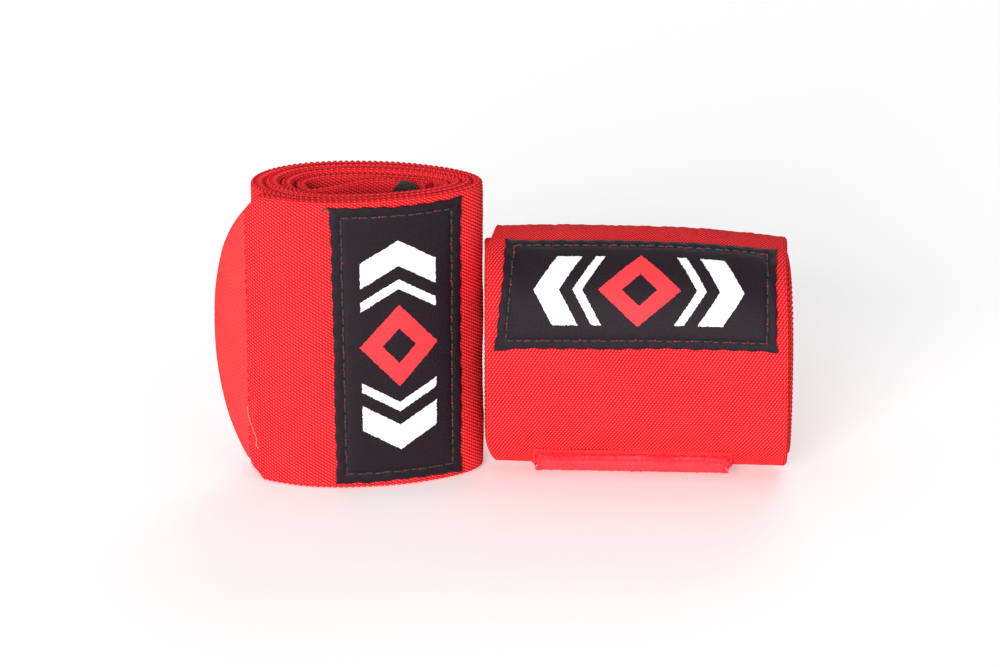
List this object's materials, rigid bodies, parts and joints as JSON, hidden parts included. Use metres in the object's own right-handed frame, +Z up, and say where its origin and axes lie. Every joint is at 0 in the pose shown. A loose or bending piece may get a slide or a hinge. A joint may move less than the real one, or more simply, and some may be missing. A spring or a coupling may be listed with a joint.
{
  "type": "hand wrap",
  "caption": "Elastic hand and wrist wraps wound into oval rolls, with rounded hook-and-loop closing tabs, sewn labels, loop patches and braided thumb loops.",
  "frame": {"origin": "centre of the footprint of the two rolls, on the surface that they rest on", "axes": "+X to the right, from the standing roll to the lying roll; +Y away from the viewer; +Z up"},
  "size_m": [0.1445, 0.0532, 0.0763],
  "materials": {
    "red_elastic": "matte woven elastic",
    "red_pile": "brushed loop pile",
    "red_hook": "moulded nylon hooks",
    "black_satin": "satin twill",
    "black_thread": "spun thread",
    "red_thread": "spun thread",
    "black_braid": "braided cord"
  },
  "bodies": {
    "left_roll": {"left_elastic_band": "red_elastic", "left_label": "black_satin", "left_label_stitching": "black_thread", "left_loop_patch_backing": "red_elastic", "left_loop_pile_patch": "red_pile", "left_loop_patch_stitching": "red_thread", "left_hem_stitching": "red_thread", "left_thumb_loop_tack": "black_thread"},
    "left_tab": {"left_closure_tab": "red_elastic", "left_hook_patch": "red_hook", "left_tab_stitching": "red_thread"},
    "left_thumb_loop": {"left_thumb_loop": "black_braid"},
    "right_roll": {"right_elastic_band": "red_elastic", "right_label": "black_satin", "right_label_stitching": "black_thread", "right_loop_patch_backing": "red_elastic", "right_loop_pile_patch": "red_pile", "right_loop_patch_stitching": "red_thread", "right_hem_stitching": "red_thread", "right_thumb_loop_tack": "black_thread"},
    "right_tab": {"right_closure_tab": "red_elastic", "right_hook_patch": "red_hook", "right_tab_stitching": "red_thread"},
    "right_thumb_loop": {"right_thumb_loop": "black_braid"}
  },
  "joints": [
    {"name": "wraps_apart", "type": "slide", "parent": "left_roll", "child": "right_roll", "axis": [1, 0, 0], "range_m": [0, 0.1]},
    {"name": "left_tab_peel", "type": "hinge", "parent": "left_roll", "child": "left_tab", "pos_m": [-0.06025, -0.01297, 0.038], "axis": [0, 0, 1], "range_deg": [-3, 80], "stiffness_Nm_per_rad": 0.02},
    {"name": "right_tab_peel", "type": "hinge", "parent": "right_roll", "child": "right_tab", "pos_m": [0.03406, 0.01136, 0.05917], "axis": [1, 0, 0], "range_deg": [-3, 80], "stiffness_Nm_per_rad": 0.02},
    {"name": "left_thumb_loop_sway", "type": "hinge", "parent": "left_roll", "child": "left_thumb_loop", "pos_m": [-0.02357, -0.00173, 0.0362], "axis": [-0.2793, -0.9602, 0], "range_deg": [0, 6], "stiffness_Nm_per_rad": 0.01},
    {"name": "right_thumb_loop_sway", "type": "hinge", "parent": "right_roll", "child": "right_thumb_loop", "pos_m": [0.03226, -0.004, 0.02192], "axis": [0, -0.9537, 0.3008], "range_deg": [0, 6], "stiffness_Nm_per_rad": 0.01}
  ]
}
